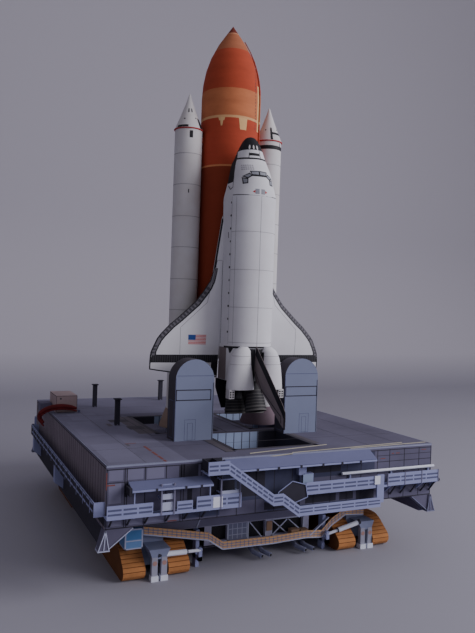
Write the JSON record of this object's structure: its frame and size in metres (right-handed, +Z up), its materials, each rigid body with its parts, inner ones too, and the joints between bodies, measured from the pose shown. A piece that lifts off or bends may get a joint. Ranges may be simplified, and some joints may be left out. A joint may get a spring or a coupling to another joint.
{
  "type": "space shuttle display model",
  "caption": "Card display model of a winged shuttle with its fuel tank and boosters, standing on a launch platform carried by a belted crawler.",
  "frame": {"origin": "on the floor, under the middle of the platform", "axes": "+Z up along the stack's height, -Y towards the side that the orbiter faces, +X to the right seen from that side"},
  "size_m": [0.306, 0.368, 0.4869],
  "materials": {
    "rust_foam": "matt printed card, rust orange with paler bands",
    "grey_card": "matt printed card, pale grey",
    "skirt_card": "matt printed card, brown-tan",
    "tile_card": "matt printed card, pale grey-white",
    "bell_card": "matt printed card, near black",
    "strut_card": "matt rolled card, tan",
    "blue_grey_card": "matt printed card, blue-grey with dark panel lines",
    "deck_card": "matt printed card, pale blue-grey",
    "rail_card": "matt printed card strip, pale blue-grey",
    "tan_card": "matt printed card, tan-grey",
    "red_card": "matt rolled card, red",
    "chassis_card": "matt printed card, dark blue-grey",
    "yellow_card": "matt printed card strip, yellow-orange",
    "belt_card": "matt printed card, orange-brown with dark shoe lines",
    "white_card": "matt card, white"
  },
  "bodies": {
    "root": {"belt_back_left_inner": "belt_card", "belt_back_left_outer": "belt_card", "belt_back_right_inner": "belt_card", "belt_back_right_outer": "belt_card", "belt_front_left_inner": "belt_card", "belt_front_left_outer": "belt_card", "belt_front_right_inner": "belt_card", "belt_front_right_outer": "belt_card", "body_flap": "tile_card", "booster_left_case": "grey_card", "booster_left_nose": "grey_card", "booster_left_skirt": "skirt_card", "booster_right_case": "grey_card", "booster_right_nose": "grey_card", "booster_right_skirt": "skirt_card", "cab_back": "grey_card", "cab_front": "grey_card", "corner_pedestal_back_far": "rail_card", "corner_pedestal_back_near": "rail_card", "corner_pedestal_front_far": "rail_card", "corner_pedestal_front_near": "rail_card", "crawler_chassis": "chassis_card", "deck_cabinet": "tan_card", "deck_duct": "red_card", "face_gangway_left_back": "rail_card", "face_gangway_left_front": "rail_card", "face_gangway_right_back": "rail_card", "face_gangway_right_front": "rail_card", "fin": "tile_card", "front_strut": "strut_card", "main_engine_left": "bell_card", "main_engine_right": "bell_card", "main_engine_upper": "bell_card", "orbiter_aft_body": "tile_card", "orbiter_midbody": "tile_card", "orbiter_nose": "tile_card", "platform_deck": "deck_card", "platform_hull": "blue_grey_card", "rear_pod_left": "tile_card", "rear_pod_right": "tile_card", "rear_strut_left": "strut_card", "rear_strut_right": "strut_card", "side_gangway_left": "rail_card", "side_gangway_right": "rail_card", "stairs_back": "rail_card", "stairs_front": "rail_card", "tail_mast_left": "blue_grey_card", "tail_mast_right": "blue_grey_card", "tank_body": "rust_foam", "tank_cable_tray": "rust_foam", "tank_feed_line": "rust_foam", "truck_back_left": "white_card", "truck_back_right": "white_card", "truck_front_left": "white_card", "truck_front_right": "white_card", "walkway_back": "yellow_card", "walkway_front": "yellow_card", "wing_left": "tile_card", "wing_right": "tile_card"}
  },
  "joints": []
}
